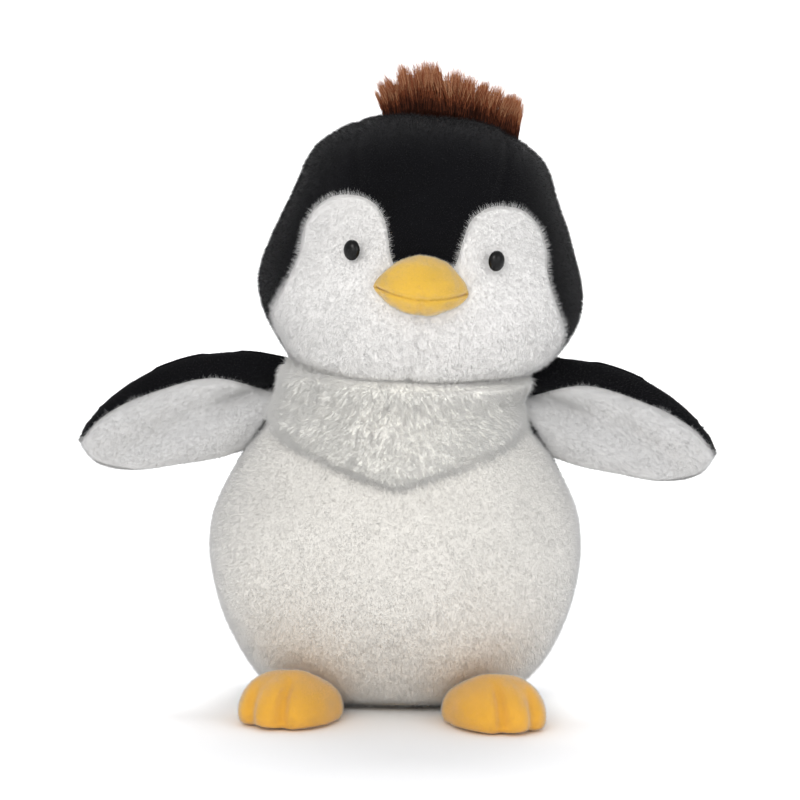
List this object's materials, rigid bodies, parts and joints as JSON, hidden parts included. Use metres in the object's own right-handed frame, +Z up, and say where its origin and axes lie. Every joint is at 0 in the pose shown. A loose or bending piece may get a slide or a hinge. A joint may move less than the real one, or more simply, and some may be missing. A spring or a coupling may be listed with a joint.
{
  "type": "plush penguin",
  "caption": "Standing stuffed penguin: black and white plush panels over stuffing, yellow beak and feet, hair tuft, soft neck, wings and feet.",
  "frame": {"origin": "middle of the flat base on the surface it stands on", "axes": "+Z up, -Y out of the face and belly, +X to the right seen from the front"},
  "size_m": [0.2926, 0.1702, 0.2942],
  "materials": {
    "black_plush": "matte",
    "white_plush": "matte",
    "cream_pile": "matte",
    "yellow_plush": "matte",
    "brown_pile": "matte",
    "filling": "matte",
    "bag_cloth": "matte",
    "label_satin": "satin",
    "eye_plastic": "gloss",
    "washer_plastic": "matte"
  },
  "bodies": {
    "head": {"crown_panel": "black_plush", "head_side_left": "black_plush", "head_side_right": "black_plush", "face_left": "white_plush", "face_right": "white_plush", "head_stuffing": "filling", "beak_upper": "yellow_plush", "beak_lower": "yellow_plush", "beak_stuffing": "filling", "eye_left": "eye_plastic", "eye_right": "eye_plastic", "eye_washer_left": "washer_plastic", "eye_washer_right": "washer_plastic", "hair_tuft": "brown_pile"},
    "neck": {"neck_stuffing": "filling"},
    "root": {"belly_panel": "white_plush", "back_left": "black_plush", "back_right": "black_plush", "base_panel": "black_plush", "body_stuffing": "filling", "pellet_bag": "bag_cloth", "chest_ruff": "cream_pile", "care_label": "label_satin"},
    "wing_left_root": {"wing_left_root": "black_plush"},
    "wing_left": {"wing_left_front": "white_plush", "wing_left_back": "black_plush", "wing_left_stuffing": "filling"},
    "wing_right_root": {"wing_right_root": "black_plush"},
    "wing_right": {"wing_right_front": "white_plush", "wing_right_back": "black_plush", "wing_right_stuffing": "filling"},
    "foot_left": {"foot_left_top": "yellow_plush", "foot_left_sole": "yellow_plush", "foot_left_stuffing": "filling"},
    "foot_right": {"foot_right_top": "yellow_plush", "foot_right_sole": "yellow_plush", "foot_right_stuffing": "filling"}
  },
  "joints": [
    {"name": "head_nod", "type": "hinge", "parent": "root", "child": "neck", "pos_m": [0, 0, 0.152], "axis": [1, 0, 0], "range_deg": [-15, 15], "stiffness_Nm_per_rad": 0.8},
    {"name": "head_turn", "type": "hinge", "parent": "neck", "child": "head", "pos_m": [0, 0, 0.152], "axis": [0, 0, 1], "range_deg": [-30, 30], "stiffness_Nm_per_rad": 0.4},
    {"name": "wing_left_raise", "type": "hinge", "parent": "root", "child": "wing_left_root", "pos_m": [-0.071, 0, 0.134], "axis": [0, 1, 0], "range_deg": [-14, 25], "stiffness_Nm_per_rad": 0.12},
    {"name": "wing_left_swing", "type": "hinge", "parent": "wing_left_root", "child": "wing_left", "pos_m": [-0.071, 0, 0.134], "axis": [-0.225, 0, 0.9744], "range_deg": [-42, 60], "stiffness_Nm_per_rad": 0.05},
    {"name": "wing_right_raise", "type": "hinge", "parent": "root", "child": "wing_right_root", "pos_m": [0.071, 0, 0.134], "axis": [0, -1, 0], "range_deg": [-14, 25], "stiffness_Nm_per_rad": 0.12},
    {"name": "wing_right_swing", "type": "hinge", "parent": "wing_right_root", "child": "wing_right", "pos_m": [0.071, 0, 0.134], "axis": [-0.225, 0, -0.9744], "range_deg": [-42, 60], "stiffness_Nm_per_rad": 0.05},
    {"name": "foot_left_flex", "type": "hinge", "parent": "root", "child": "foot_left", "pos_m": [-0.041, -0.047, 0.004], "axis": [-1, 0, 0], "range_deg": [-25, 8], "stiffness_Nm_per_rad": 0.3},
    {"name": "foot_right_flex", "type": "hinge", "parent": "root", "child": "foot_right", "pos_m": [0.041, -0.047, 0.004], "axis": [-1, 0, 0], "range_deg": [-25, 8], "stiffness_Nm_per_rad": 0.3}
  ]
}
